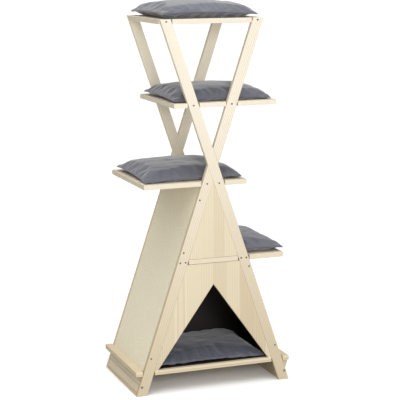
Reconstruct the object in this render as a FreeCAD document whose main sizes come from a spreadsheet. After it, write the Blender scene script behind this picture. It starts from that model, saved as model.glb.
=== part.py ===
import FreeCAD, Part
import os
import Sketcher
from FreeCAD import Placement, Rotation, Vector

# Cat tree: two X-shaped slat frames, four shelves notched round them, a triangular cave with a
# scratching side, and five loose cushions.
# Frame of the model: +X to the right of the entrance side, +Y towards the back, +Z up, in
# millimetres. The origin is on the floor, in the middle of the tree.

# Each size that can be chosen by itself: alias, value, meaning.
SIZES = [
    ("tree_height", 1440, "floor to the level-cut top ends of the slats and the top shelf's top"),
    ("tree_depth", 418, "outer face of the front frame to outer face of the back frame"),
    ("foot_half", 298, "middle of the tree to a slat's centre line, at the floor"),
    ("top_half", 186, "middle of the tree to a slat's centre line, at the top ends"),
    ("slat_width", 40, "slat, across its edges"),
    ("slat_thick", 18, "slat, front to back"),
    ("board_thick", 18, "shelves, floor board and base boards"),
    ("panel_thick", 15, "front, back and side panels"),
    ("mat_thick", 3, "woven scratching mat, and how far the side panels sit inside the slat edges"),
    ("panel_recess", 1.5, "front and back panels behind the slats' outer faces"),
    ("edge_chamfer", 0.8, "eased edges of slats, boards and panels"),
    ("lap_gap", 0.1, "clearance in the half-lap where two slats cross"),
    ("cut_spill", 2, "how far a half-lap or a notch is cut past the edges of its piece"),
    ("notch_gap", 0.2, "clearance of a board's notch round a slat"),
    ("seam_gap", 1.2, "gap between a front or back panel and the board above or below it"),
    ("fit_gap", 0.2, "gap between a part that spans the depth and each frame's inner face"),
    ("shelf_length", 416, "upper and middle shelf, left to right"),
    ("upper_top", 1125, "top face of the upper shelf"),
    ("middle_top", 823, "top face of the middle shelf"),
    ("side_top", 522, "top face of the side shelf, whose underside is the cave's ceiling"),
    ("floor_top", 97, "top face of the floor board"),
    ("upper_reach", 261, "middle of the tree to the upper shelf's right end"),
    ("middle_reach", 278, "middle of the tree to the middle shelf's left end"),
    ("side_reach", 294, "middle of the tree to the side shelf's right end"),
    ("floor_half", 320, "middle of the tree to each end of the floor board"),
    ("entrance_jamb", 13.3, "front panel between the entrance and a slat, at the floor board"),
    ("entrance_top", 419, "apex of the cave's entrance"),
    ("scratch_screw_top", 752, "highest screw of the scratching panel"),
    ("scratch_screw_mid", 552, "second screw of the scratching panel"),
    ("right_screw_top", 477, "upper screw of the right side panel"),
    ("low_screw", 146, "lowest screw of both side panels"),
    ("pair_half", 11, "half spacing of the two screws of a slat at the side shelf"),
    ("foot_bolt", 36, "height of the bolts through the feet"),
    ("base_inset", 10, "right base board's middle inside its slats' centre line, at the floor"),
    ("screw_radius", 2, "screw shank"),
    ("screw_head_radius", 3.5, "screw head"),
    ("screw_head_depth", 3, "screw head, top to underside"),
    ("screw_length", 45, "screw, head included"),
    ("bolt_radius", 3, "foot bolt shank"),
    ("bolt_head_radius", 5, "foot bolt head"),
    ("bolt_head_depth", 3, "foot bolt head, top to underside"),
    ("bolt_length", 58, "foot bolt, head included"),
    ("drill_gap", 0.05, "radial clearance of every drilled hole"),
    ("drill_extra", 1, "how much deeper a blind hole is than what goes in it"),
    ("dowel_radius", 3, "dowel between a panel and a slat"),
    ("dowel_length", 30, "dowel, half of it in each piece"),
    ("upper_dowel_low", 562, "lower dowels of the upper panels"),
    ("upper_dowel_high", 690, "upper dowels of the upper panels"),
    ("lower_dowel_low", 165, "lowest dowels of the lower panels"),
    ("lower_dowel_mid", 310, "middle dowels of the lower panels"),
    ("lower_dowel_high", 450, "upper dowels of the lower panels"),
    ("cushion_length", 400, "shelf cushion, left to right"),
    ("cave_cushion_side", 25.6, "gap between the cave cushion's top and each side panel"),
    ("cushion_thick", 50, "cushion, at its full thickness"),
    ("cushion_round", 20, "rounding of the cushions' edges"),
    ("cushion_rest", 0.3, "gap between a cushion and the board below it"),
    ("cushion_side", 3, "gap between a cushion and what stands beside it"),
]

# Expressions shared by the sketches. A slat leans by LEAN per unit of height; HALF is half its
# width measured level; the two slats of a frame cross at the height CROSS.
LEAN = "((Sizes.foot_half + Sizes.top_half) / Sizes.tree_height)"
SLANT = f"sqrt(1 + {LEAN}^2)"
HALF = f"(Sizes.slat_width / 2 * {SLANT})"
CROSS = f"(Sizes.foot_half / {LEAN})"
FRONT = "(Sizes.tree_depth / 2)"
INNER_FACE = f"({FRONT} - Sizes.slat_thick)"
SPAN = f"({INNER_FACE} - Sizes.fit_gap)"
SCREW_DEPTH = "(Sizes.screw_length - Sizes.slat_thick + Sizes.drill_extra)"


def middle(height):
    """Centre line of the slat with the right foot, at a height."""
    return f"(Sizes.foot_half - {LEAN} * ({height}))"


def outer(height):
    """Right edge of the slat with the right foot: the tree's outside below the crossing."""
    return f"({middle(height)} + {HALF})"


def inner(height):
    """Left edge of the slat with the right foot."""
    return f"({middle(height)} - {HALF})"


def inside(height, depth):
    """Plane parallel to a slat's outer edge and this deep inside it, measured squarely."""
    return f"({outer(height)} - ({depth}) * {SLANT})"


def times(side, expression):
    """An X expression on the right (side 1) or mirrored to the left (side -1)."""
    return f"({side} * {expression})"


def underside(top):
    return f"({top} - Sizes.board_thick)"


def half_board(top):
    """Height of the middle of a board's thickness."""
    return f"({top} - Sizes.board_thick / 2)"


doc = FreeCAD.newDocument("cat_tree")
sheet = doc.addObject("Spreadsheet::Sheet", "Sizes")
for row, (alias, value, meaning) in enumerate(SIZES, start=1):
    sheet.set(f"A{row}", alias)
    sheet.set(f"B{row}", str(value))
    sheet.set(f"C{row}", meaning)
    sheet.setAlias(f"B{row}", alias)
doc.recompute()

sub_parts = []


def keep(piece, label):
    """Name a finished piece and list it for writing."""
    piece.Label = label
    sub_parts.append(piece)
    return piece


def new_body(name):
    return doc.addObject("PartDesign::Body", name)


def origin_plane(body, role):
    return [item for item in body.Origin.OriginFeatures if item.Role == role][0]


def new_sketch(body, name, role, offset):
    """A sketch on one of the body's own planes, moved along that plane's normal."""
    sketch = body.newObject("Sketcher::SketchObject", name)
    sketch.AttachmentSupport = [(origin_plane(body, role), "")]
    sketch.MapMode = "FlatFace"
    sketch.setExpression(".AttachmentOffset.Base.z", offset)
    return sketch


def pin_down(sketch, index, position, place, start):
    """Fix one point of the geometry at two bound distances from the sketch's origin."""
    for kind, expression, value in zip(("DistanceX", "DistanceY"), place, start):
        bound = sketch.addConstraint(
            Sketcher.Constraint(kind, -1, 1, index, position, value))
        sketch.setExpression(f"Constraints[{bound}]", expression)


def polygon_sketch(body, name, role, offset, corners):
    """A closed outline whose corners are pairs of expressions, counter-clockwise."""
    sketch = new_sketch(body, name, role, offset)
    count = len(corners)
    ring = [Rotation(Vector(0, 0, 1), 360 * i / count).multVec(Vector(100, 0, 0))
            for i in range(count)]
    for i in range(count):
        sketch.addGeometry(Part.LineSegment(ring[i], ring[(i + 1) % count]))
    for i in range(count):
        sketch.addConstraint(
            Sketcher.Constraint("Coincident", i, 2, (i + 1) % count, 1))
        pin_down(sketch, i, 1, corners[i], (ring[i].x, ring[i].y))
    return sketch


def circle_sketch(body, name, role, offset, centres, radius):
    """Equal circles whose centres are pairs of expressions."""
    sketch = new_sketch(body, name, role, offset)
    for i, centre in enumerate(centres):
        start = Vector(10 * (i + 1), 10, 0)
        sketch.addGeometry(Part.Circle(start, Vector(0, 0, 1), 2))
        pin_down(sketch, i, 3, centre, (start.x, start.y))
        bound = sketch.addConstraint(Sketcher.Constraint("Radius", i, 2))
        sketch.setExpression(f"Constraints[{bound}]", radius)
    return sketch


def pad(body, sketch, length, backwards=False, both_ways=False):
    feature = body.newObject("PartDesign::Pad", f"{sketch.Name}_pad")
    feature.Profile = sketch
    feature.Midplane = both_ways
    feature.Reversed = backwards
    feature.setExpression("Length", length)
    doc.recompute()
    return feature


def pocket(body, sketch, length, backwards=False):
    """A cut that has to take material away."""
    before = body.Shape.Volume
    feature = body.newObject("PartDesign::Pocket", f"{sketch.Name}_pocket")
    feature.Profile = sketch
    feature.Reversed = backwards
    feature.setExpression("Length", length)
    doc.recompute()
    if not body.Shape.Volume < before:
        raise RuntimeError(f"{feature.Name} cuts nothing")
    return feature


def ease_edges(body, base):
    feature = body.newObject("PartDesign::Chamfer", f"{body.Name}_eased")
    feature.Base = (base, [])
    feature.UseAllEdges = True
    feature.setExpression("Size", "Sizes.edge_chamfer")
    doc.recompute()
    return feature


def mirror_to_back(body, cut):
    """Repeat a cut of the front edge in the back edge."""
    before = body.Shape.Volume
    feature = body.newObject("PartDesign::Mirrored", f"{cut.Name}_back")
    feature.Originals = [cut]
    feature.MirrorPlane = (origin_plane(body, "XZ_Plane"), [""])
    body.Tip = feature
    doc.recompute()
    if not body.Shape.Volume < before:
        raise RuntimeError(f"{feature.Name} cuts nothing")


def mirrored_piece(source, label):
    """The back frame's twin of a piece of the front frame."""
    twin = doc.addObject("Part::Mirroring", f"{label}_twin")
    twin.Source = source
    twin.Normal = Vector(0, 1, 0)
    twin.Base = Vector(0, 0, 0)
    return keep(twin, label)


# --- Where the fasteners go: X and height of each, as seen from the front ---------------------

def screw_places(side):
    """Screws through one front slat; side is 1 for the slat with the right foot."""
    panel_line = "Sizes.mat_thick + Sizes.panel_thick / 2"
    single = [(times(side, middle(half_board(top))), half_board(top))
              for top in ("Sizes.tree_height", "Sizes.upper_top", "Sizes.middle_top")]
    side_shelf = half_board("Sizes.side_top")
    pair = [(times(side, f"({middle(side_shelf)} {sign} Sizes.pair_half)"), side_shelf)
            for sign in ("+", "-")]
    heights = ["Sizes.right_screw_top", "Sizes.low_screw"]
    if side < 0:
        heights = ["Sizes.scratch_screw_top", "Sizes.scratch_screw_mid", "Sizes.low_screw"]
    in_panel = [(times(side, inside(height, panel_line)), height) for height in heights]
    return single + pair + in_panel


def right_base(height):
    """Middle of the right base board, which leans the way the other foot's slat does."""
    return f"(Sizes.foot_half - Sizes.base_inset + {LEAN} * ({height}))"


def bolt_place(side):
    """The bolt of one foot, into the middle of the base board behind it."""
    height = "Sizes.foot_bolt"
    if side > 0:
        return [(right_base(height), height)]
    return [(times(side, inside(height, "Sizes.board_thick / 2")), height)]


DOWELS_UPPER = ["Sizes.upper_dowel_low", "Sizes.upper_dowel_high"]
DOWELS_LOWER = ["Sizes.lower_dowel_low", "Sizes.lower_dowel_mid", "Sizes.lower_dowel_high"]


# --- Dowels, level, half in a slat's inner edge and half in the panel beside it ----------------

def level_cylinder(name, side, height, radius, length):
    """A cylinder along X, centred on a slat's inner edge and on the panels' thickness."""
    rod = doc.addObject("Part::Cylinder", name)
    rod.Placement = Placement(Vector(0, 0, 0), Rotation(Vector(0, 1, 0), 90))
    rod.setExpression("Radius", radius)
    rod.setExpression("Height", length)
    rod.setExpression(".Placement.Base.x", f"({times(side, inner(height))} - ({length}) / 2)")
    rod.setExpression(".Placement.Base.y",
                      f"(Sizes.panel_recess + Sizes.panel_thick / 2 - {FRONT})")
    rod.setExpression(".Placement.Base.z", height)
    return rod


def dowels_and_drills(name, side, heights):
    """The dowels at these heights on one side, and the drill shapes a little larger all round."""
    dowels = []
    drills = []
    for i, height in enumerate(heights):
        dowels.append(level_cylinder(f"{name}_dowel_{i}", side, height,
                                     "Sizes.dowel_radius", "Sizes.dowel_length"))
        drills.append(level_cylinder(f"{name}_drill_{i}", side, height,
                                     "(Sizes.dowel_radius + Sizes.drill_gap)",
                                     "(Sizes.dowel_length + Sizes.drill_extra)"))
    return dowels, drills


def drilled(base, drills, label):
    """A piece with its dowel holes cut."""
    tools = doc.addObject("Part::Compound", f"{label}_drills")
    tools.Links = drills
    cut = doc.addObject("Part::Cut", f"{label}_drilled")
    cut.Base = base
    cut.Tool = tools
    doc.recompute()
    if not cut.Shape.Volume < base.Shape.Volume:
        raise RuntimeError(f"{label} has no dowel holes")
    return keep(cut, label)


front_dowels = []
drills_at = {}
for part_name, heights in (("upper", DOWELS_UPPER), ("lower", DOWELS_LOWER)):
    for side in (1, -1):
        place_name = f"{part_name}_{'right' if side > 0 else 'left'}"
        rods, holes = dowels_and_drills(place_name, side, heights)
        front_dowels += rods
        drills_at[part_name, side] = holes


# --- Slats of the two X frames ----------------------------------------------------------------

def half_lap_corners(side):
    """The crossing's outline: past the slat's own edges, and snug on the other slat's edges."""
    own = f"({HALF} + Sizes.cut_spill)"
    other = f"({HALF} + Sizes.lap_gap)"
    corners = []
    for own_sign, other_sign in ((1, 1), (1, -1), (-1, -1), (-1, 1)):
        across = f"(({own_sign} * {own} + {other_sign} * {other}) / 2)"
        rise = f"(({own_sign} * {own} - {other_sign} * {other}) / (2 * {LEAN}))"
        corners.append((times(side, across), f"({CROSS} + {rise})"))
    return corners


def front_slat(label, side):
    """Straight slat from a foot on one side to the top on the other, with level-cut ends."""
    body = new_body(f"{label}_body")
    bottom, top = "0", "Sizes.tree_height"
    outline = [(times(side, inner(bottom)), bottom), (times(side, outer(bottom)), bottom),
               (times(side, outer(top)), top), (times(side, inner(top)), top)]
    blank = pad(body, polygon_sketch(body, f"{label}_outline", "XZ_Plane", FRONT, outline),
                "Sizes.slat_thick", backwards=True)
    ease_edges(body, blank)
    # The slat with the right foot keeps its outer half at the crossing, the other its inner half.
    keeps_outer_half = side > 0
    lap_face = INNER_FACE if keeps_outer_half else FRONT
    lap = polygon_sketch(body, f"{label}_lap", "XZ_Plane", lap_face, half_lap_corners(side))
    pocket(body, lap, "((Sizes.slat_thick + Sizes.lap_gap) / 2)", backwards=keeps_outer_half)
    holes = [
        ("screw", screw_places(side), "Sizes.screw_radius", "Sizes.slat_thick"),
        ("screw_head", screw_places(side), "Sizes.screw_head_radius", "Sizes.screw_head_depth"),
        ("bolt", bolt_place(side), "Sizes.bolt_radius", "Sizes.slat_thick"),
        ("bolt_head", bolt_place(side), "Sizes.bolt_head_radius", "Sizes.bolt_head_depth"),
    ]
    for name, places, radius, depth in holes:
        circles = circle_sketch(body, f"{label}_{name}", "XZ_Plane", FRONT, places,
                                f"({radius} + Sizes.drill_gap)")
        pocket(body, circles, depth)
    return drilled(body, drills_at["upper", side] + drills_at["lower", side], label)


front_right = front_slat("front_slat_right_foot", 1)
front_left = front_slat("front_slat_left_foot", -1)
mirrored_piece(front_right, "back_slat_right_foot")
mirrored_piece(front_left, "back_slat_left_foot")


# --- Boards: the four shelves and the floor board ----------------------------------------------

def notch_right(top):
    """Square notch that clears the slat with the right foot over the board's thickness."""
    return (f"({inner(top)} - Sizes.notch_gap)",
            f"({outer(underside(top))} + Sizes.notch_gap)")


def notch_left(top):
    start, end = notch_right(top)
    return (times(-1, end), times(-1, start))


def cut_both_edges(body, sketch, depth):
    """Cut the front edge and repeat the cut in the back edge."""
    mirror_to_back(body, pocket(body, sketch, depth))


def board(label, top, left, right, notches, screws):
    """A board notched alike in front and back, and drilled for the screws of the slats."""
    body = new_body(label)
    corners = [(left, times(-1, FRONT)), (right, times(-1, FRONT)), (right, FRONT),
               (left, FRONT)]
    outline = polygon_sketch(body, f"{label}_outline", "XY_Plane", underside(top), corners)
    ease_edges(body, pad(body, outline, "Sizes.board_thick"))
    low = f"({underside(top)} - Sizes.cut_spill)"
    high = f"({top} + Sizes.cut_spill)"
    for i, (start, end) in enumerate(notches):
        corners = [(start, low), (end, low), (end, high), (start, high)]
        notch = polygon_sketch(body, f"{label}_notch_{i}", "XZ_Plane", FRONT, corners)
        cut_both_edges(body, notch, "(Sizes.slat_thick + Sizes.notch_gap)")
    if screws:
        circles = circle_sketch(body, f"{label}_screws", "XZ_Plane", INNER_FACE, screws,
                                "(Sizes.screw_radius + Sizes.drill_gap)")
        cut_both_edges(body, circles, SCREW_DEPTH)
    return keep(body, label)


def screws_at(height, sides=(1, -1)):
    """The screws at one height through the slats of these sides."""
    return [place for side in sides for place in screw_places(side) if place[1] == height]


TOP = "Sizes.tree_height"
UPPER = "Sizes.upper_top"
MIDDLE = "Sizes.middle_top"
SIDE = "Sizes.side_top"
FLOOR = "Sizes.floor_top"

# Seen from above, the slat with the right foot is on the left at the top and upper shelves.
PAST_LEFT_END = f"({inner(TOP)} - Sizes.cut_spill)"
board("top_shelf", TOP, inner(TOP), times(-1, inner(TOP)),
      [(PAST_LEFT_END, notch_right(TOP)[1]), (notch_left(TOP)[0], times(-1, PAST_LEFT_END))],
      screws_at(half_board(TOP)))

board("upper_shelf", UPPER, "(Sizes.upper_reach - Sizes.shelf_length)", "Sizes.upper_reach",
      [notch_right(UPPER), notch_left(UPPER)], screws_at(half_board(UPPER)))

board("middle_shelf", MIDDLE, "(0 - Sizes.middle_reach)",
      "(Sizes.shelf_length - Sizes.middle_reach)",
      [(notch_left(MIDDLE)[0], notch_right(MIDDLE)[1])], screws_at(half_board(MIDDLE)))

# The side shelf's left end stands against the scratching panel, so the outer screw on that side
# holds the panel, and the inner one holds the shelf.
SIDE_SCREWS = screws_at(half_board(SIDE))
LEFT_PANEL_SCREW = screws_at(half_board(SIDE), (-1,))[0]
PANEL_DEPTH = "Sizes.mat_thick + Sizes.panel_thick"
board("side_shelf", SIDE, times(-1, inside(SIDE, PANEL_DEPTH)), "Sizes.side_reach",
      [notch_left(SIDE), notch_right(SIDE)],
      [place for place in SIDE_SCREWS if place != LEFT_PANEL_SCREW])

board("floor_board", FLOOR, "(0 - Sizes.floor_half)", "Sizes.floor_half",
      [notch_left(FLOOR), notch_right(FLOOR)], [])


# --- Panels in the X frames --------------------------------------------------------------------

def front_panel(label, corners, sides_drills):
    """An upright panel between the slats of the front frame."""
    body = new_body(f"{label}_body")
    outline = polygon_sketch(body, f"{label}_outline", "XZ_Plane",
                             f"({FRONT} - Sizes.panel_recess)", corners)
    pad(body, outline, "Sizes.panel_thick", backwards=True)
    return drilled(body, sides_drills, label)


def between_slats(low, high, opening):
    """Corners of a panel that fills the frame from one height to another."""
    corners = [(times(-1, inner(low)), low)] + opening + [(inner(low), low)]
    return corners + [(inner(high), high), (times(-1, inner(high)), high)]


UPPER_LOW = f"({SIDE} + Sizes.seam_gap)"
UPPER_TIP = f"({CROSS} - {HALF} / {LEAN})"
LOWER_HIGH = f"({underside(SIDE)} - Sizes.seam_gap)"
ENTRANCE_HALF = f"({inner(FLOOR)} - Sizes.entrance_jamb)"
ENTRANCE = [(times(-1, ENTRANCE_HALF), FLOOR), ("0", "Sizes.entrance_top"),
            (ENTRANCE_HALF, FLOOR)]

upper_corners = [(times(-1, inner(UPPER_LOW)), UPPER_LOW), (inner(UPPER_LOW), UPPER_LOW),
                 ("0", UPPER_TIP)]
upper_drills = drills_at["upper", 1] + drills_at["upper", -1]
lower_drills = drills_at["lower", 1] + drills_at["lower", -1]
front_upper = front_panel("front_upper_panel", upper_corners, upper_drills)
front_panel("front_lower_panel", between_slats(FLOOR, LOWER_HIGH, ENTRANCE), lower_drills)
mirrored_piece(front_upper, "back_upper_panel")

# The back's lower panel has no entrance. It is drawn for the front and mirrored.
closed_body = new_body("closed_lower_body")
closed_sketch = polygon_sketch(closed_body, "closed_lower_outline", "XZ_Plane",
                               f"({FRONT} - Sizes.panel_recess)",
                               between_slats(FLOOR, LOWER_HIGH, []))
pad(closed_body, closed_sketch, "Sizes.panel_thick", backwards=True)
closed_lower = drilled(closed_body, lower_drills, "closed_lower_front_twin")
sub_parts.remove(closed_lower)
mirrored_piece(closed_lower, "back_lower_panel")


# --- Leaning parts that span the depth between the frames --------------------------------------

def along_slat(side, low, high, depth, thick):
    """Level-cut corners of a board parallel to a slat's outer edge and this deep inside it."""
    near, far = depth, f"{depth} + {thick}"
    return [(times(side, inside(low, far)), low), (times(side, inside(low, near)), low),
            (times(side, inside(high, near)), high), (times(side, inside(high, far)), high)]


def leaning_board(label, corners, screws, hole_radius, hole_depth):
    """A board drawn from the front that reaches from one frame to the other."""
    body = new_body(label)
    outline = polygon_sketch(body, f"{label}_outline", "XZ_Plane", "0", corners)
    pad(body, outline, f"(2 * {SPAN})", both_ways=True)
    if screws:
        circles = circle_sketch(body, f"{label}_holes", "XZ_Plane", INNER_FACE, screws,
                                f"({hole_radius} + Sizes.drill_gap)")
        cut_both_edges(body, circles, hole_depth)
    return keep(body, label)


BOLT_DEPTH = "(Sizes.bolt_length - Sizes.slat_thick + Sizes.drill_extra)"
scratch_screws = [LEFT_PANEL_SCREW] + [
    place for place in screw_places(-1)
    if place[1] in ("Sizes.scratch_screw_top", "Sizes.scratch_screw_mid", "Sizes.low_screw")]
right_screws = [place for place in screw_places(1)
                if place[1] in ("Sizes.right_screw_top", "Sizes.low_screw")]

leaning_board("scratch_panel",
              along_slat(-1, FLOOR, underside(MIDDLE), "Sizes.mat_thick", "Sizes.panel_thick"),
              scratch_screws, "Sizes.screw_radius", SCREW_DEPTH)
leaning_board("scratch_mat",
              along_slat(-1, FLOOR, underside(MIDDLE), "0", "Sizes.mat_thick"), [], "", "")
leaning_board("right_side_panel",
              along_slat(1, FLOOR, underside(SIDE), "Sizes.mat_thick", "Sizes.panel_thick"),
              right_screws, "Sizes.screw_radius", SCREW_DEPTH)
leaning_board("left_base_board",
              along_slat(-1, "0", underside(FLOOR), "0", "Sizes.board_thick"),
              bolt_place(-1), "Sizes.bolt_radius", BOLT_DEPTH)

BASE_TOP = underside(FLOOR)
BASE_HALF = f"(Sizes.board_thick / 2 * {SLANT})"
leaning_board("right_base_board",
              [(f"({right_base(0)} - {BASE_HALF})", "0"),
               (f"({right_base(0)} + {BASE_HALF})", "0"),
               (f"({right_base(BASE_TOP)} + {BASE_HALF})", BASE_TOP),
               (f"({right_base(BASE_TOP)} - {BASE_HALF})", BASE_TOP)],
              bolt_place(1), "Sizes.bolt_radius", BOLT_DEPTH)


# --- Cushions -------------------------------------------------------------------------------------

def cushion(label, board_top, left, length):
    """A plain rounded block that lies on a board between the frames."""
    body = new_body(label)
    right = f"({left} + {length})"
    reach = f"({INNER_FACE} - Sizes.cushion_side)"
    corners = [(left, times(-1, reach)), (right, times(-1, reach)), (right, reach),
               (left, reach)]
    outline = polygon_sketch(body, f"{label}_outline", "XY_Plane",
                             f"({board_top} + Sizes.cushion_rest)", corners)
    block = pad(body, outline, "Sizes.cushion_thick")
    rounding = body.newObject("PartDesign::Fillet", f"{label}_rounding")
    rounding.Base = (block, [])
    rounding.UseAllEdges = True
    rounding.setExpression("Radius", "Sizes.cushion_round")
    return keep(body, label)


def centred(middle_of_board, length):
    return f"({middle_of_board} - {length} / 2)"


SHELF_CUSHION = "Sizes.cushion_length"
cave_cushion_top = f"({FLOOR} + Sizes.cushion_rest + Sizes.cushion_thick)"
cave_wall = inside(cave_cushion_top, "Sizes.mat_thick + Sizes.panel_thick")
CAVE_CUSHION = f"(2 * ({cave_wall} - Sizes.cave_cushion_side))"
side_cushion_top = f"({SIDE} + Sizes.cushion_rest + Sizes.cushion_thick)"
cushion("top_cushion", TOP, centred("0", SHELF_CUSHION), SHELF_CUSHION)
cushion("upper_cushion", UPPER,
        centred("(Sizes.upper_reach - Sizes.shelf_length / 2)", SHELF_CUSHION), SHELF_CUSHION)
cushion("middle_cushion", MIDDLE,
        centred("(Sizes.shelf_length / 2 - Sizes.middle_reach)", SHELF_CUSHION), SHELF_CUSHION)
cushion("side_cushion", SIDE,
        f"(Sizes.cushion_side - {inside(side_cushion_top, PANEL_DEPTH)})", SHELF_CUSHION)
cushion("cave_cushion", FLOOR, centred("0", CAVE_CUSHION), CAVE_CUSHION)


# --- Fasteners --------------------------------------------------------------------------------------

front_dowel_set = doc.addObject("Part::Compound", "front_dowel_set")
front_dowel_set.Links = front_dowels
keep(front_dowel_set, "front_panel_dowels")
mirrored_piece(front_dowel_set, "back_panel_dowels")


def fastener(kind):
    """A screw or bolt along +Z: socket head from 0, shank, and a short cone at the far end."""
    radius = sheet.get(f"{kind}_radius")
    head_radius = sheet.get(f"{kind}_head_radius")
    head_depth = sheet.get(f"{kind}_head_depth")
    length = sheet.get(f"{kind}_length")
    point = 2 * radius
    head = Part.makeCylinder(head_radius, head_depth)
    shank = Part.makeCylinder(radius, length - head_depth - point, Vector(0, 0, head_depth))
    tip = Part.makeCone(radius, radius / 4, point, Vector(0, 0, length - point))
    corner = Vector(head_radius / 2, 0, 0)
    ring = [Rotation(Vector(0, 0, 1), 60 * i).multVec(corner) for i in range(7)]
    socket = Part.Face(Part.makePolygon(ring)).extrude(Vector(0, 0, head_depth * 2 / 3))
    return head.fuse([shank, tip]).removeSplitter().cut(socket)


def fastener_group(label, kind, sketches):
    """One fastener in each hole of the front slats, and its twin in the back."""
    face = sheet.get("tree_depth") / 2
    pattern = fastener(kind)
    solids = []
    for sketch in sketches:
        for circle in sketch.Geometry:
            for end in (-1, 1):
                solid = pattern.copy()
                solid.Placement = Placement(
                    Vector(circle.Center.x, end * face, circle.Center.y),
                    Rotation(Vector(1, 0, 0), 90 * end))
                solids.append(solid)
    group = doc.addObject("Part::Feature", label)
    group.Shape = Part.makeCompound(solids)
    keep(group, label)


doc.recompute()
for kind, group_label in (("screw", "slat_screws"), ("bolt", "foot_bolts")):
    hole_sketches = [doc.getObject(f"front_slat_{foot}_foot_{kind}") for foot in ("right", "left")]
    fastener_group(group_label, kind, hole_sketches)


# --- Checks and files ---------------------------------------------------------------------------------

doc.recompute()
failed = [item.Name for item in doc.Objects if "Invalid" in item.State or "Error" in item.State]
if failed:
    raise RuntimeError(f"failed objects: {failed}")
for piece in sub_parts:
    if piece.Shape.isNull() or not piece.Shape.isValid():
        raise RuntimeError(f"{piece.Label} has no valid shape")

os.makedirs("parts", exist_ok=True)
for piece in sub_parts:
    piece.Shape.exportStep(f"parts/{piece.Label}.step")
    box = piece.Shape.BoundBox
    print(f"{piece.Label}: {len(piece.Shape.Solids)} solid(s), "
          f"x {box.XMin:.1f} to {box.XMax:.1f}, y {box.YMin:.1f} to {box.YMax:.1f}, "
          f"z {box.ZMin:.1f} to {box.ZMax:.1f}")
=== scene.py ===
import math

import bpy
import numpy as np
from mathutils import Matrix, Vector, noise


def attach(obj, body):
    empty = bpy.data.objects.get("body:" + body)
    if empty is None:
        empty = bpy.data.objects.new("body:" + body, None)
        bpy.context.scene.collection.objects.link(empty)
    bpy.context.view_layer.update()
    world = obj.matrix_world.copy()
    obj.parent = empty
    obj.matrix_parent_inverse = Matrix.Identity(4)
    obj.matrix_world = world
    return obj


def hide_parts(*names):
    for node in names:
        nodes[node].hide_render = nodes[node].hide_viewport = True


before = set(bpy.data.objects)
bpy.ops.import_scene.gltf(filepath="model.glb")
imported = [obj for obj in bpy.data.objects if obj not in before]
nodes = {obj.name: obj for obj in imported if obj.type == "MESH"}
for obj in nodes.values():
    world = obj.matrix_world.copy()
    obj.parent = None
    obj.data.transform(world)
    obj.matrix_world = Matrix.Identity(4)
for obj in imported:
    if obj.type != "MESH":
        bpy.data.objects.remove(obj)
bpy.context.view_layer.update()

# --- Colours and small helpers -----------------------------------------------------------------


def linear(red, green, blue):
    """A colour named by its screen values, 0 to 255, as the linear colour that nodes take."""
    shares = [value / 255 for value in (red, green, blue)]
    return tuple(share / 12.92 if share <= 0.04045 else ((share + 0.055) / 1.055) ** 2.4
                 for share in shares) + (1.0,)


# The tree in metres: its height, and the middle of the tree to a slat's centre line at the floor
# and at the top. A slat leans by SLOPE, or by LEAN degrees.
TREE_HEIGHT = 1.44
FOOT_HALF, TOP_HALF = 0.298, 0.186
SLOPE = (FOOT_HALF + TOP_HALF) / TREE_HEIGHT
LEAN = math.degrees(math.atan(SLOPE))
# Top faces of the boards that the cushions lie on, each under its cushion's name.
BOARD_TOPS = {"top": TREE_HEIGHT, "upper": 1.125, "middle": 0.823, "side": 0.522, "cave": 0.097}
# A plane inside the thickness of a cave side panel, parallel to its faces, meets the floor this
# far from the middle of the tree.
CAVE_REACH = 0.306


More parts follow.
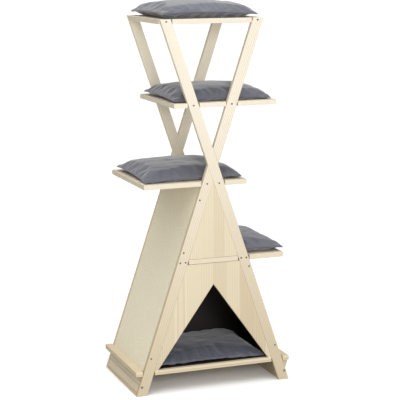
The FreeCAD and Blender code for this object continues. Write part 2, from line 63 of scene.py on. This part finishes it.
class Nodes:
    """Makes and wires the nodes of one material."""

    def __init__(self, name):
        self.material = bpy.data.materials.new(name)
        self.material.use_nodes = True
        self.tree = self.material.node_tree
        self.shader = self.tree.nodes["Principled BSDF"]

    def add(self, kind, inputs=None, **settings):
        node = self.tree.nodes.new(kind)
        for key, value in settings.items():
            setattr(node, key, value)
        for key, value in (inputs or {}).items():
            self.feed(node.inputs[key], value)
        return node

    def feed(self, socket, value):
        if isinstance(value, bpy.types.NodeSocket):
            self.tree.links.new(value, socket)
        else:
            socket.default_value = value

    def maths(self, operation, *values):
        node = self.add("ShaderNodeMath", operation=operation)
        for i, value in enumerate(values):
            self.feed(node.inputs[i], value)
        return node.outputs[0]

    def mix(self, share, first, second, blend="MIX"):
        node = self.add("ShaderNodeMix", data_type="RGBA", blend_type=blend)
        self.feed(node.inputs[0], share)
        self.feed(node.inputs[6], first)
        self.feed(node.inputs[7], second)
        return node.outputs[2]

    def ramp(self, share, stops):
        node = self.add("ShaderNodeValToRGB", {"Fac": share})
        elements = node.color_ramp.elements
        while len(elements) < len(stops):
            elements.new(0.5)
        for element, (position, colour) in zip(elements, stops):
            element.position = position
            element.color = colour
        return node.outputs["Color"]

    def noise(self, vector, scale, detail=2.0, roughness=0.5):
        return self.add("ShaderNodeTexNoise", {"Vector": vector, "Scale": scale,
                        "Detail": detail, "Roughness": roughness}).outputs["Fac"]

    def mapped(self, vector, location=(0, 0, 0), rotation=(0, 0, 0), scale=(1, 1, 1)):
        return self.add("ShaderNodeMapping", {"Vector": vector, "Location": location,
                        "Rotation": rotation, "Scale": scale}).outputs["Vector"]

    def place(self):
        return self.add("ShaderNodeTexCoord").outputs["Object"]

    def within(self, low, high):
        """1 inside a box with leaning sides, in the piece's own coordinates, and 0 outside."""
        axes = self.add("ShaderNodeSeparateXYZ", {"Vector": self.place()}).outputs
        reach = self.maths("ADD", self.maths("ABSOLUTE", axes["X"]),
                           self.maths("MULTIPLY", axes["Z"], SLOPE))
        share = self.maths("LESS_THAN", reach, CAVE_REACH)
        for axis, least, most in zip(axes, low, high):
            share = self.maths("MULTIPLY", share, self.maths("GREATER_THAN", axis, least))
            share = self.maths("MULTIPLY", share, self.maths("LESS_THAN", axis, most))
        return share

    def bump(self, height, strength, distance):
        node = self.add("ShaderNodeBump", {"Height": height, "Strength": strength,
                        "Distance": distance})
        self.feed(self.shader.inputs["Normal"], node.outputs["Normal"])


# --- Pine ----------------------------------------------------------------------------------------

BLACK, WHITE = (0, 0, 0, 1), (1, 1, 1, 1)
# Painted shade darkens the wood towards the floor: there is none above the first height, and all
# of it below the second.
FOOT_SHADE_STARTS, FOOT_SHADE_ENDS = 1.1, 0.15
# A face gets painted side shade when this much of its normal points left or right.
SIDE_FACING = 0.8
# The dark colour of the painted shade on the faces inside the cave.
CAVE_SHADE = (38, 31, 26)


def pine(name, grain, pith, pale, dark, stave=0.0, ring=0.0055, across="X",
         inside=None, low=None, streak=0.55, painted_side_shade=True):
    """Bare pine, with painted shade. grain is the turn (degrees about X, Y, Z) that brings
    the pattern's Z to the piece's grain; pith is where the rings' centre lies across it;
    stave is the width of the strips a glued panel is made of, side by side along X or Y
    (across), or 0 for a single piece; inside is the box of the cave, and faces in it are
    painted dark as painted shade; low is the painted shade the wood is multiplied by at the
    feet, fading out upwards; the last flag darkens the faces that look left or right with
    painted shade."""
    mat = Nodes(name)
    angles = [math.radians(-angle) for angle in grain]
    place = mat.mapped(mat.place(), rotation=angles)
    if stave:
        width = mat.add("ShaderNodeSeparateXYZ", {"Vector": place}).outputs[across]
        strip = mat.maths("FLOOR", mat.maths("DIVIDE", width, stave))
        shade = mat.add("ShaderNodeTexWhiteNoise", {"W": strip}, noise_dimensions="1D")
        jump = mat.add("ShaderNodeVectorMath", {0: shade.outputs["Color"], 1: (0.5, 0.1, 3.0)},
                       operation="MULTIPLY").outputs[0]
        place_of_rings = mat.add("ShaderNodeVectorMath", {0: place, 1: jump},
                                 operation="ADD").outputs[0]
        tone = shade.outputs["Value"]
    else:
        place_of_rings = place
        tone = mat.noise(mat.mapped(place, scale=(6, 6, 0.8)), 1.0)
    rings_place = mat.mapped(place_of_rings, location=(*pith, 0), scale=(1, 1, 0.06))
    rings = mat.add("ShaderNodeTexWave", {"Vector": rings_place, "Distortion": 3.0,
                    "Scale": 2 * math.pi / (20 * ring), "Detail": 2.0, "Detail Scale": 0.35,
                    "Detail Roughness": 0.55},
                    wave_type="RINGS", rings_direction="Z", wave_profile="SAW").outputs["Fac"]
    fibre = mat.noise(mat.mapped(place, scale=(300, 300, 6)), 1.0, 3.0, 0.6)
    late = mat.ramp(rings, [(0.0, BLACK), (0.55, BLACK), (0.93, WHITE),
                            (1.0, BLACK)])
    wood = mat.mix(mat.maths("MULTIPLY", late, streak), linear(*pale), linear(*dark))
    warm = mat.mix(mat.maths("MULTIPLY", tone, 0.30), wood, linear(*dark), "MULTIPLY")
    grain_and_painted_shade = mat.mix(mat.maths("MULTIPLY", fibre, 0.16), warm, linear(*dark))
    # Painted shade: the wood is darkened towards the floor, where less light reaches.
    height = mat.add("ShaderNodeSeparateXYZ", {"Vector": mat.place()}).outputs["Z"]
    foot_shade_share = mat.add("ShaderNodeMapRange", {"Value": height, "From Min": FOOT_SHADE_STARTS,
                      "From Max": FOOT_SHADE_ENDS, "To Min": 0.0, "To Max": 1.0}).outputs["Result"]
    grain_and_painted_shade = mat.mix(foot_shade_share, grain_and_painted_shade, low or PANEL_FOOT_SHADE, "MULTIPLY")
    # Painted shade: faces that look left or right are darkened, as sides lying in shade.
    if painted_side_shade:
        facing = mat.add("ShaderNodeTexCoord").outputs["Normal"]
        sideways = mat.add("ShaderNodeSeparateXYZ", {"Vector": facing}).outputs["X"]
        side_shade_share = mat.maths("GREATER_THAN", mat.maths("ABSOLUTE", sideways), SIDE_FACING)
        grain_and_painted_shade = mat.mix(side_shade_share, grain_and_painted_shade, SIDE_SHADE, "MULTIPLY")
    # Painted shade: faces inside the cave are darkened, standing in for the shadow in it.
    if inside:
        grain_and_painted_shade = mat.mix(mat.within(*inside), grain_and_painted_shade, linear(*CAVE_SHADE))
    mat.feed(mat.shader.inputs["Base Color"], grain_and_painted_shade)
    rough = mat.maths("ADD", 0.50, mat.maths("MULTIPLY", fibre, 0.12))
    mat.feed(mat.shader.inputs["Roughness"], rough)
    mat.bump(mat.maths("ADD", fibre, mat.maths("MULTIPLY", late, -0.5)), 0.10, 0.0004)
    return mat.material


# Painted shade, multiplied on: on slats, boards and panels towards the floor, and on the faces
# that look left or right.
SLAT_FOOT_SHADE = (0.80, 0.735, 0.62, 1.0)
BOARD_FOOT_SHADE = (0.89, 0.83, 0.72, 1.0)
PANEL_FOOT_SHADE = (0.90, 0.88, 0.84, 1.0)
SIDE_SHADE = (0.90, 0.87, 0.80, 1.0)
# The back slats are the same pine as the front ones, painted paler as painted light on them.
PALE, BACK_PALE_WITH_PAINTED_LIGHT, GOLD = (222, 216, 203), (236, 229, 211), (190, 175, 145)
PANEL_PALE, PANEL_GOLD = (211, 201, 178), (182, 160, 120)
# Boxes that hold the faces inside the cave, which are painted dark as painted shade: of its walls,
# floor and ceiling.
CAVE_WALLS = ((-0.3, -0.1926, 0.09), (0.3, 0.1926, 0.5045))
CAVE_FLOOR = ((-0.3, -0.191, 0.0969), (0.3, 0.191, 0.11))
CAVE_CEILING = ((-0.3, -0.191, 0.5), (0.3, 0.191, 0.5042))


def dress(name, material):
    """Give a carried piece its material in every slot."""
    mesh = nodes[name].data
    mesh.materials.clear()
    mesh.materials.append(material)


for end in ("front", "back"):
    shift = 0.05 if end == "front" else -0.07
    # Painted light: the back slats take a paler colour than the front ones.
    pale = PALE if end == "front" else BACK_PALE_WITH_PAINTED_LIGHT
    dress(f"{end}_slat_right_foot",
          pine(f"pine_{end}_slat_right", (0, -LEAN, 0), (0.03, shift), pale, GOLD,
               inside=CAVE_WALLS, low=SLAT_FOOT_SHADE, streak=0.8))
    dress(f"{end}_slat_left_foot",
          pine(f"pine_{end}_slat_left", (0, LEAN, 0), (-0.04, -shift), pale, GOLD,
               inside=CAVE_WALLS, low=SLAT_FOOT_SHADE, streak=0.8))
    dress(f"{end}_upper_panel",
          pine(f"pine_{end}_upper_panel", (0, 0, 0), (0.12, 0.22), PANEL_PALE, PANEL_GOLD,
               stave=0.048, ring=0.007))
    dress(f"{end}_lower_panel",
          pine(f"pine_{end}_lower_panel", (0, 0, 0), (0.12, 0.2), PANEL_PALE, PANEL_GOLD,
               stave=0.055, ring=0.007, inside=CAVE_WALLS))
    dress(f"{end}_panel_dowels", pine(f"beech_{end}_dowels", (0, 90, 0), (0, 0), PALE, GOLD))
for name, stained in (("top_shelf", None), ("upper_shelf", None), ("middle_shelf", None),
                      ("side_shelf", CAVE_CEILING), ("floor_board", CAVE_FLOOR)):
    dress(name, pine(f"pine_{name}", (0, 90, 0), (0.06, 0.1), PALE, GOLD, inside=stained,
                     low=BOARD_FOOT_SHADE, streak=0.9, ring=0.0045))
for name in ("left_base_board", "right_base_board"):
    dress(name, pine(f"pine_{name}", (90, 0, 0), (0.06, 0.1), PALE, GOLD, low=BOARD_FOOT_SHADE,
                     streak=0.9, ring=0.0045, painted_side_shade=False))
for name, side in (("scratch_panel", -1), ("right_side_panel", 1)):
    dress(name, pine(f"pine_{name}", (0, -side * LEAN, 0), (0.16, 0.12), PANEL_PALE,
                     PANEL_GOLD, stave=0.05, ring=0.007, across="Y", inside=CAVE_WALLS,
                     painted_side_shade=False))

# --- Steel ---------------------------------------------------------------------------------------


def steel(name, colour, roughness):
    """Dull steel, a little hazy."""
    mat = Nodes(name)
    haze = mat.noise(mat.place(), 900.0, 3.0)
    mat.feed(mat.shader.inputs["Base Color"],
             mat.mix(haze, linear(*colour), linear(*[value * 0.8 for value in colour])))
    mat.shader.inputs["Metallic"].default_value = 1.0
    mat.feed(mat.shader.inputs["Roughness"],
             mat.maths("ADD", roughness, mat.maths("MULTIPLY", haze, 0.15)))
    mat.bump(haze, 0.05, 0.0002)
    return mat.material


dress("slat_screws", steel("steel_screws", (110, 110, 112), 0.35))
dress("foot_bolts", steel("steel_bolts", (140, 141, 141), 0.42))

# --- Woven scratching mat ------------------------------------------------------------------------


def weave(name):
    """Flat-woven sisal, its threads running up the leaning side and across it."""
    mat = Nodes(name)
    place = mat.mapped(mat.place(), rotation=(0, math.radians(-LEAN), 0))
    up, over = (mat.add("ShaderNodeTexWave", {"Vector": place, "Scale": 50.0,
                        "Distortion": 1.5, "Detail": 2.0, "Detail Scale": 3.0},
                        bands_direction=direction).outputs["Fac"] for direction in "ZY")
    cloth = mat.maths("MAXIMUM", up, over)
    patch = mat.noise(place, 60.0, 3.0)
    base = mat.mix(cloth, linear(180, 168, 138), linear(236, 228, 206))
    mat.feed(mat.shader.inputs["Base Color"],
             mat.mix(mat.maths("MULTIPLY", patch, 0.3), base, linear(196, 185, 157)))
    mat.shader.inputs["Roughness"].default_value = 0.9
    mat.bump(cloth, 0.6, 0.0006)
    return mat.material


dress("scratch_mat", weave("sisal_weave"))

# --- Cushion fabric ------------------------------------------------------------------------------


def fabric(name):
    """Close plain-woven cloth with a soft shine, and a little uneven in colour."""
    mat = Nodes(name)
    place = mat.place()
    threads = []
    for direction in "XYZ":
        wave = mat.add("ShaderNodeTexWave", {"Vector": place, "Scale": 260.0,
                       "Distortion": 0.6, "Detail": 1.0, "Detail Scale": 4.0},
                       bands_direction=direction)
        threads.append(wave.outputs["Fac"])
    cloth = mat.maths("MULTIPLY", mat.maths("ADD", mat.maths("ADD", *threads[:2]), threads[2]),
                      0.33)
    patch = mat.noise(place, 30.0, 4.0, 0.6)
    fleck = mat.noise(place, 700.0, 2.0, 0.6)
    shade = mat.mix(patch, linear(61, 62, 74), linear(74, 75, 88))
    shade = mat.mix(mat.maths("MULTIPLY", fleck, 0.35), shade, linear(98, 99, 110))
    mat.feed(mat.shader.inputs["Base Color"],
             mat.mix(mat.maths("MULTIPLY", cloth, 0.3), shade, linear(52, 52, 62)))
    mat.feed(mat.shader.inputs["Roughness"],
             mat.maths("ADD", 0.36, mat.maths("MULTIPLY", patch, 0.14)))
    mat.shader.inputs["Sheen Weight"].default_value = 0.5
    mat.shader.inputs["Sheen Roughness"].default_value = 0.45
    mat.bump(mat.maths("ADD", cloth, mat.maths("MULTIPLY", patch, 0.6)), 0.25, 0.0006)
    return mat.material


# --- Cushions ------------------------------------------------------------------------------------

GRID = 0.0065
SHEET_GAP = 0.002
INFLATE_FRAMES = 20
PRESSURE = 3.0
# No point of a cover moves further than this while it is filled.
FURTHEST = 0.008
# How squarely a cushion swells towards its seam, and how uneven its top is.
SWELL = 0.36
LUMPS = 0.08
# How deep the underside hangs from the seam, in heights of the seam above the board, before the
# cushion is laid flat.
SAG = 1.15
# The cloth stops this far above its board.
CLEAR = 0.0004


def sewn_sheets(name, left, right, front, back, seam):
    """Two flat sheets of cloth of one outline, sewn to each other along their edges."""
    bpy.ops.object.select_all(action="DESELECT")
    long, wide = right - left, back - front
    bpy.ops.mesh.primitive_grid_add(
        x_subdivisions=round(long / GRID), y_subdivisions=round(wide / GRID), size=1,
        location=((left + right) / 2, (front + back) / 2, seam + SHEET_GAP / 2))
    cover = bpy.context.object
    cover.name = cover.data.name = name
    cover.scale = (long, wide, 1)
    bpy.ops.object.transform_apply(location=True, rotation=True, scale=True)
    bpy.ops.object.mode_set(mode="EDIT")
    bpy.ops.mesh.select_all(action="SELECT")
    bpy.ops.mesh.duplicate()
    bpy.ops.transform.translate(value=(0, 0, -SHEET_GAP))
    bpy.ops.mesh.select_all(action="SELECT")
    bpy.ops.mesh.region_to_loop()
    bpy.ops.mesh.bridge_edge_loops()
    bpy.ops.mesh.select_all(action="SELECT")
    bpy.ops.mesh.normals_make_consistent(inside=False)
    bpy.ops.object.mode_set(mode="OBJECT")
    return cover


def points_of(mesh):
    flat = np.empty(len(mesh.vertices) * 3)
    mesh.vertices.foreach_get("co", flat)
    return flat.reshape(-1, 3)


def set_points(mesh, points):
    mesh.vertices.foreach_set("co", points.ravel())
    mesh.update()


def inflate(cover, edge, stretch):
    """Fill the sewn cover by a cloth simulation; stretch is the share of spare cloth in it."""
    start = points_of(cover.data)
    seam = cover.vertex_groups.new(name="seam")
    seam.add([int(i) for i in np.nonzero(edge)[0]], 1.0, "REPLACE")
    cloth = cover.modifiers.new("filling", "CLOTH")
    how = cloth.settings
    how.quality = 6
    how.mass = 0.3
    how.tension_stiffness = how.compression_stiffness = 15
    how.shear_stiffness = 5
    how.bending_stiffness = 0.3
    how.use_pressure = True
    how.uniform_pressure_force = PRESSURE
    how.vertex_group_mass = "seam"
    how.shrink_min = how.shrink_max = -stretch
    how.effector_weights.gravity = 0
    cloth.collision_settings.use_collision = False
    for frame_number in range(1, INFLATE_FRAMES + 1):
        bpy.context.scene.frame_set(frame_number)
    filled = cover.evaluated_get(bpy.context.evaluated_depsgraph_get())
    move = points_of(filled.data) - start
    cover.modifiers.remove(cloth)
    cover.vertex_groups.remove(seam)
    bpy.context.scene.frame_set(1)
    length = np.linalg.norm(move, axis=1)
    share = np.minimum(1, FURTHEST / np.maximum(length, 1e-9))
    set_points(cover.data, start + move * share[:, None])


def cushion(name, left, right, front, back, crest, corners, pull=0.02, belly=0.008,
            stretch=0.03, dents=(), seed=0.0):
    """A filled cushion on its board, crest high. corners gives the seam's height above the
    board at front left, front right, back left and back right, and belly how much higher it is
    between them; pull draws the middles of the sides in; dents are (x, y, reach, share)."""
    board = BOARD_TOPS[name]
    cover = sewn_sheets(f"{name}_pillow", left, right, front, back, board)
    points = points_of(cover.data)
    across = (2 * points[:, 0] - left - right) / (right - left)
    deep = (2 * points[:, 1] - front - back) / (back - front)
    upper = points[:, 2] > board
    edge = np.maximum(np.abs(across), np.abs(deep)) > 0.9999
    weights = [(1 - across) * (1 - deep), (1 + across) * (1 - deep),
               (1 - across) * (1 + deep), (1 + across) * (1 + deep)]
    seam = sum(height * weight for height, weight in zip(corners, weights)) / 4
    seam = seam + belly * (1 - (across * deep) ** 2)
    fill = ((1 - across ** 2).clip(0) * (1 - deep ** 2).clip(0)) ** SWELL
    for x, y, reach, share in dents:
        near = ((points[:, 0] - x) ** 2 + (points[:, 1] - y) ** 2) / reach ** 2
        fill = fill * (1 - share * np.exp(-near))
    lumps = np.array([noise.noise(Vector((x * 26 + seed, y * 26, seed)))
                      + noise.noise(Vector((x * 11, y * 11 - seed, seed)))
                      for x, y, _ in points])
    rise = np.where(upper, (crest - seam) * fill * (1 + LUMPS * lumps), -SAG * seam * fill)
    rise = np.where(edge, np.where(upper, 0.5, -0.5) * SHEET_GAP, rise)
    points[:, 0] -= pull * (right - left) / 2 * across * np.abs(across) * (1 - deep ** 2)
    points[:, 1] -= pull * (back - front) / 2 * deep * np.abs(deep) * (1 - across ** 2)
    points[:, 2] = board + seam + rise
    set_points(cover.data, points)
    inflate(cover, edge, stretch)
    points = points_of(cover.data)
    points[:, 2] = np.maximum(points[:, 2], board + CLEAR)
    set_points(cover.data, points)
    smooth = cover.modifiers.new("smooth", "SUBSURF")
    smooth.levels = smooth.render_levels = 1
    bpy.context.view_layer.objects.active = cover
    bpy.ops.object.modifier_apply(modifier=smooth.name)
    bpy.ops.object.shade_smooth()
    cover.data.materials.append(slate)
    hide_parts(f"{name}_cushion")
    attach(cover, f"{name}_cushion_body")


slate = fabric("slate_fabric")
cushion("top", -0.194, 0.190, -0.200, 0.200, 0.055, (0.018, 0.011, 0.016, 0.012),
        seed=1.0)
cushion("upper", -0.151, 0.250, -0.187, 0.180, 0.050, (0.006, 0.005, 0.012, 0.010),
        stretch=0.035, seed=2.0, dents=((-0.10, -0.15, 0.06, 0.15),))
cushion("middle", -0.267, 0.128, -0.188, 0.188, 0.054, (0.003, 0.008, 0.015, 0.012),
        seed=3.0, dents=((0.0, -0.06, 0.05, 0.15), (-0.19, 0.10, 0.07, 0.10)))
cushion("side", -0.108, 0.303, -0.190, 0.188, 0.050, (0.014, 0.014, 0.014, 0.014),
        seed=4.0)
cushion("cave", -0.234, 0.222, -0.190, 0.188, 0.044, (0.012, 0.006, 0.010, 0.008),
        seed=5.0, belly=0.005, dents=((0.0, 0.13, 0.16, 0.40),))

# --- Floor, light and camera ---------------------------------------------------------------------

# The floor is white paper, and gives back less light than it shows, as a lit sweep does.
FLOOR_BOUNCE = 0.64
FLOOR_SHOWN = 0.95

bpy.ops.object.select_all(action="DESELECT")
bpy.ops.mesh.primitive_plane_add(size=400, location=(0, 0, 0))
floor = bpy.context.object
floor.name = "studio_floor"
paper = Nodes("studio_paper")
seen = paper.add("ShaderNodeLightPath").outputs["Is Camera Ray"]
paper.feed(paper.shader.inputs["Base Color"],
           paper.mix(seen, (FLOOR_BOUNCE,) * 3 + (1,), (FLOOR_SHOWN,) * 3 + (1,)))
paper.shader.inputs["Roughness"].default_value = 1.0
paper.shader.inputs["Specular IOR Level"].default_value = 0.0
floor.data.materials.append(paper.material)

scene = bpy.context.scene
scene.view_settings.view_transform = "Standard"


def studio_world(around, overhead, front, towards):
    """A white tent: even light all round, more from overhead and from a broad lobe in front.
    The tent itself is seen as plain white."""
    world = bpy.data.worlds.new("studio")
    scene.world = world
    world.use_nodes = True
    tree = world.node_tree
    background = tree.nodes["Background"]
    background.inputs["Color"].default_value = (1, 1, 1, 1)

    def maths(operation, *values):
        node = tree.nodes.new("ShaderNodeMath")
        node.operation = operation
        for i, value in enumerate(values):
            if isinstance(value, bpy.types.NodeSocket):
                tree.links.new(value, node.inputs[i])
            else:
                node.inputs[i].default_value = value
        return node.outputs[0]

    def facing(direction):
        node = tree.nodes.new("ShaderNodeVectorMath")
        node.operation = "DOT_PRODUCT"
        tree.links.new(sky.outputs["Generated"], node.inputs[0])
        node.inputs[1].default_value = Vector(direction).normalized()
        return maths("MAXIMUM", node.outputs["Value"], 0.0)

    sky = tree.nodes.new("ShaderNodeTexCoord")
    seen = tree.nodes.new("ShaderNodeLightPath")
    light = around
    for direction, narrowness, strength in (((0, 0, 1), 3.0, overhead), (towards, 4.0, front)):
        lobe = maths("POWER", facing(direction), narrowness)
        light = maths("ADD", light, maths("MULTIPLY", lobe, strength))
    shown = maths("MAXIMUM", light, maths("MULTIPLY", seen.outputs["Is Camera Ray"], 1.05))
    tree.links.new(shown, background.inputs["Strength"])


studio_world(around=0.12, overhead=2.35, front=0.75, towards=(0.20, -1.0, 0.15))


def soft_box(name, place, aim, size, power):
    lamp = bpy.data.lights.new(name, "AREA")
    lamp.size = size
    lamp.energy = power
    holder = bpy.data.objects.new(name, lamp)
    scene.collection.objects.link(holder)
    holder.location = place
    holder.rotation_euler = (Vector(aim) - Vector(place)).to_track_quat("-Z", "Y").to_euler()


soft_box("front", (-0.7, -4.6, 1.9), (0, 0, 0.9), 1.2, 90)
soft_box("key", (0.6, -2.0, 3.2), (0, 0, 1.4), 1.5, 14)
soft_box("side", (-2.6, -2.0, 2.4), (-0.2, 0, 0.5), 2.2, 30)

CAMERA_PLACE = (-1.7994, -4.9447, 1.6757)
CAMERA_TURN, CAMERA_TILT, CAMERA_ROLL = -0.353, 0.1807, -0.0064
camera_data = bpy.data.cameras.new("camera")
camera_data.lens = 121.0
camera_data.sensor_width = 36.0
camera = bpy.data.objects.new("camera", camera_data)
scene.collection.objects.link(camera)
camera.matrix_world = (Matrix.Translation(CAMERA_PLACE) @ Matrix.Rotation(CAMERA_TURN, 4, "Z")
                       @ Matrix.Rotation(math.pi / 2 - CAMERA_TILT, 4, "X")
                       @ Matrix.Rotation(CAMERA_ROLL, 4, "Z"))
scene.camera = camera
